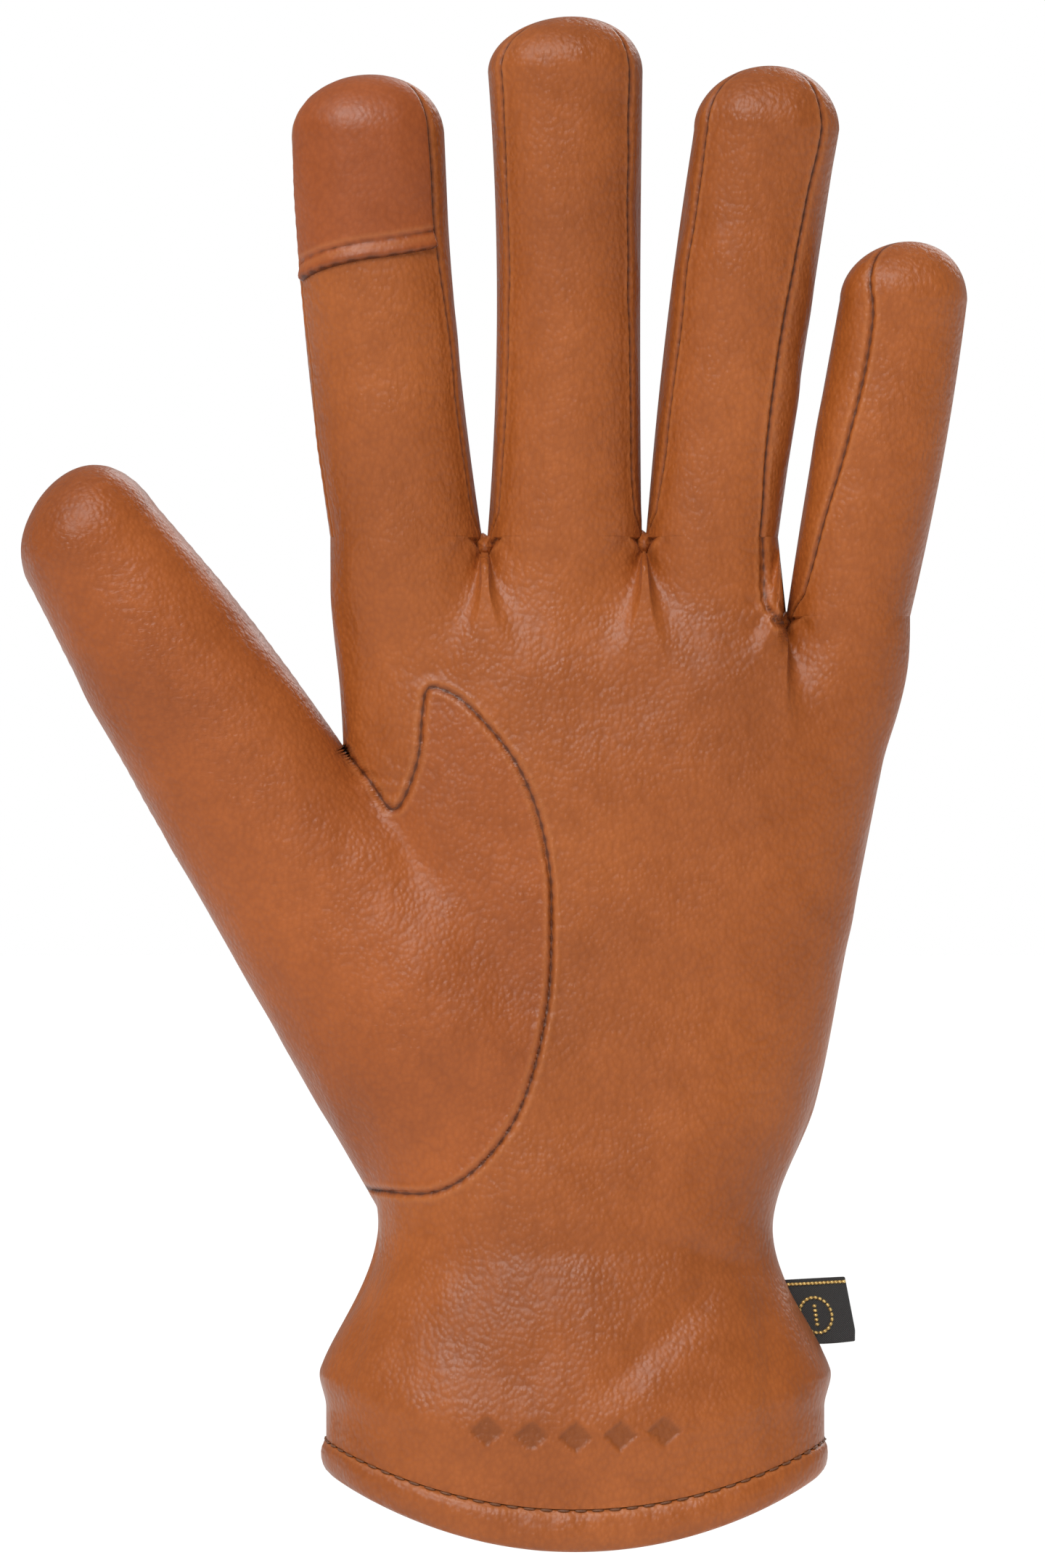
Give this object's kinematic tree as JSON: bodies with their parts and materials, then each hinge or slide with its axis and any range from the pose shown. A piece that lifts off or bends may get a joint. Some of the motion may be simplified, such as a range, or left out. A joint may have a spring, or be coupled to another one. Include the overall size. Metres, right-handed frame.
{
  "type": "leather touchscreen glove",
  "caption": "Left-hand leather touchscreen glove with a gathered wrist, turned hem, set-in thumb, side strips between the fingers and a touch cap on the index fingertip.",
  "frame": {"origin": "middle of the hand opening, level with the lowest point of the cuff's edge", "axes": "+Z towards the fingertips, -Y out of the palm, -X towards the thumb"},
  "size_m": [0.1615, 0.0566, 0.2604],
  "materials": {
    "leather": "smooth cognac nappa with a fine pebbled grain and a soft satin sheen",
    "touch_leather": "conductive touch leather, slightly redder and smoother",
    "lining": "black knitted lining",
    "elastic": "black woven elastic",
    "label": "black woven label with gold threads",
    "thread": "dark brown sewing thread"
  },
  "bodies": {
    "hand": {"palm_panel": "leather", "back_panel": "leather", "thumb_base_front": "touch_leather", "thumb_base_back": "touch_leather", "cuff_hem_palm": "leather", "cuff_hem_back": "leather", "hem_stitching": "thread", "wrist_elastic": "elastic", "label_tab": "label", "palm_lining": "lining", "back_lining": "lining", "index_middle_quirk": "leather", "middle_ring_quirk": "leather", "ring_little_quirk": "leather"},
    "index_base": {"index_base_palm": "leather", "index_base_back": "leather", "index_base_inner_strip": "leather", "index_base_lining": "lining"},
    "index_tip": {"index_tip_palm": "leather", "index_touch_cap": "touch_leather", "index_tip_back": "leather", "index_tip_inner_strip": "leather", "index_tip_lining": "lining"},
    "middle_base": {"middle_base_palm": "leather", "middle_base_back": "leather", "middle_base_index_strip": "leather", "middle_base_ring_strip": "leather", "middle_base_lining": "lining"},
    "middle_tip": {"middle_tip_palm": "leather", "middle_tip_back": "leather", "middle_tip_index_strip": "leather", "middle_tip_ring_strip": "leather", "middle_tip_lining": "lining"},
    "ring_base": {"ring_base_palm": "leather", "ring_base_back": "leather", "ring_base_middle_strip": "leather", "ring_base_little_strip": "leather", "ring_base_lining": "lining"},
    "ring_tip": {"ring_tip_palm": "leather", "ring_tip_back": "leather", "ring_tip_middle_strip": "leather", "ring_tip_little_strip": "leather", "ring_tip_lining": "lining"},
    "little_base": {"little_base_palm": "leather", "little_base_back": "leather", "little_base_ring_strip": "leather", "little_base_lining": "lining"},
    "little_tip": {"little_tip_palm": "leather", "little_tip_back": "leather", "little_tip_ring_strip": "leather", "little_tip_lining": "lining"},
    "thumb_mid": {"thumb_mid_front": "touch_leather", "thumb_mid_back": "touch_leather", "thumb_mid_lining": "lining"},
    "thumb_tip": {"thumb_tip_front": "touch_leather", "thumb_tip_back": "touch_leather", "thumb_tip_lining": "lining"}
  },
  "joints": [
    {"name": "index_base_fold", "type": "hinge", "parent": "hand", "child": "index_base", "pos_m": [-0.02885, -0.0105, 0.1715], "axis": [1, 0, 0], "range_deg": [0, 60], "stiffness_Nm_per_rad": 0.02},
    {"name": "index_knuckle_fold", "type": "hinge", "parent": "index_base", "child": "index_tip", "pos_m": [-0.03305, -0.0105, 0.205], "axis": [1, 0, 0], "range_deg": [0, 67], "stiffness_Nm_per_rad": 0.02},
    {"name": "middle_base_fold", "type": "hinge", "parent": "hand", "child": "middle_base", "pos_m": [-0.00185, -0.0105, 0.1715], "axis": [1, 0, 0], "range_deg": [0, 60], "stiffness_Nm_per_rad": 0.02},
    {"name": "middle_knuckle_fold", "type": "hinge", "parent": "middle_base", "child": "middle_tip", "pos_m": [-0.00115, -0.0105, 0.207], "axis": [1, 0, 0], "range_deg": [0, 67], "stiffness_Nm_per_rad": 0.02},
    {"name": "ring_base_fold", "type": "hinge", "parent": "hand", "child": "ring_base", "pos_m": [0.02335, -0.0105, 0.1715], "axis": [1, 0, 0], "range_deg": [0, 60], "stiffness_Nm_per_rad": 0.02},
    {"name": "ring_knuckle_fold", "type": "hinge", "parent": "ring_base", "child": "ring_tip", "pos_m": [0.02735, -0.0105, 0.205], "axis": [1, 0, 0], "range_deg": [0, 67], "stiffness_Nm_per_rad": 0.02},
    {"name": "little_base_fold", "type": "hinge", "parent": "hand", "child": "little_base", "pos_m": [0.0466, -0.0097, 0.158], "axis": [1, 0, 0], "range_deg": [0, 60], "stiffness_Nm_per_rad": 0.02},
    {"name": "little_knuckle_fold", "type": "hinge", "parent": "little_base", "child": "little_tip", "pos_m": [0.05155, -0.0097, 0.185], "axis": [1, 0, 0], "range_deg": [0, 67], "stiffness_Nm_per_rad": 0.02},
    {"name": "thumb_base_fold", "type": "hinge", "parent": "hand", "child": "thumb_mid", "pos_m": [-0.0538, -0.0141, 0.1264], "axis": [0.829, 0, 0.5592], "range_deg": [0, 35], "stiffness_Nm_per_rad": 0.02},
    {"name": "thumb_knuckle_fold", "type": "hinge", "parent": "thumb_mid", "child": "thumb_tip", "pos_m": [-0.0689, -0.0141, 0.14878], "axis": [0.829, 0, 0.5592], "range_deg": [0, 46.5], "stiffness_Nm_per_rad": 0.02}
  ],
  "couplings": [
    {"joint": "index_knuckle_fold", "follows": "index_base_fold", "ratio": 1.1},
    {"joint": "middle_knuckle_fold", "follows": "middle_base_fold", "ratio": 1.1},
    {"joint": "ring_knuckle_fold", "follows": "ring_base_fold", "ratio": 1.1},
    {"joint": "little_knuckle_fold", "follows": "little_base_fold", "ratio": 1.1},
    {"joint": "thumb_knuckle_fold", "follows": "thumb_base_fold", "ratio": 1.3}
  ]
}
